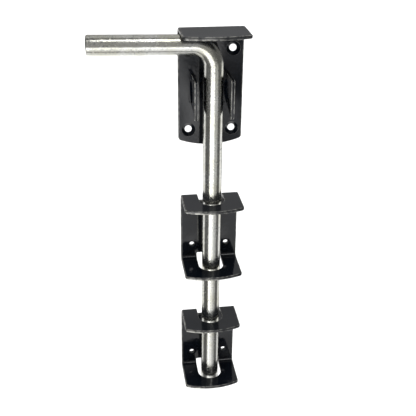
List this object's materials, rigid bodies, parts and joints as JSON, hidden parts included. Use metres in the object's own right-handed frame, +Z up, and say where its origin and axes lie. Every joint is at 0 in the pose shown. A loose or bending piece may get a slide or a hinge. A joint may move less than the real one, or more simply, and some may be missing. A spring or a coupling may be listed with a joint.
{
  "type": "drop bolt",
  "caption": "Drop bolt for a gate: a bent round bar with a sideways handle arm, a roofed top bracket with handle stops, and channel guides, zinc bar and gloss black brackets.",
  "frame": {"origin": "centre of the top bracket's four screw holes, on the bracket's back face", "axes": "+Z up along the upright bar, +Y into the gate, -Y away from the gate towards the user, +X to the user's right; the handle arm is parked towards -X"},
  "size_m": [0.1243, 0.04, 0.336],
  "materials": {
    "black_paint": "gloss",
    "zinc_bar": "satin"
  },
  "bodies": {
    "gate_side": {"top_bracket": "black_paint", "left_stop": "black_paint", "right_stop": "black_paint"},
    "bolt": {"bolt_bar": "zinc_bar"},
    "middle_guide": {"middle_guide": "black_paint"},
    "bottom_guide": {"bottom_guide": "black_paint"}
  },
  "joints": [
    {"name": "handle_swing", "type": "hinge", "parent": "gate_side", "child": "bolt", "pos_m": [0, -0.017, 0], "axis": [0, 0, 1], "range_deg": [0, 190]},
    {"name": "middle_guide_slide", "type": "slide", "parent": "gate_side", "child": "middle_guide", "axis": [0, 0, 1], "range_m": [-0.025, 0.04]},
    {"name": "bottom_guide_slide", "type": "slide", "parent": "gate_side", "child": "bottom_guide", "axis": [0, 0, 1], "range_m": [0, 0.022]}
  ]
}
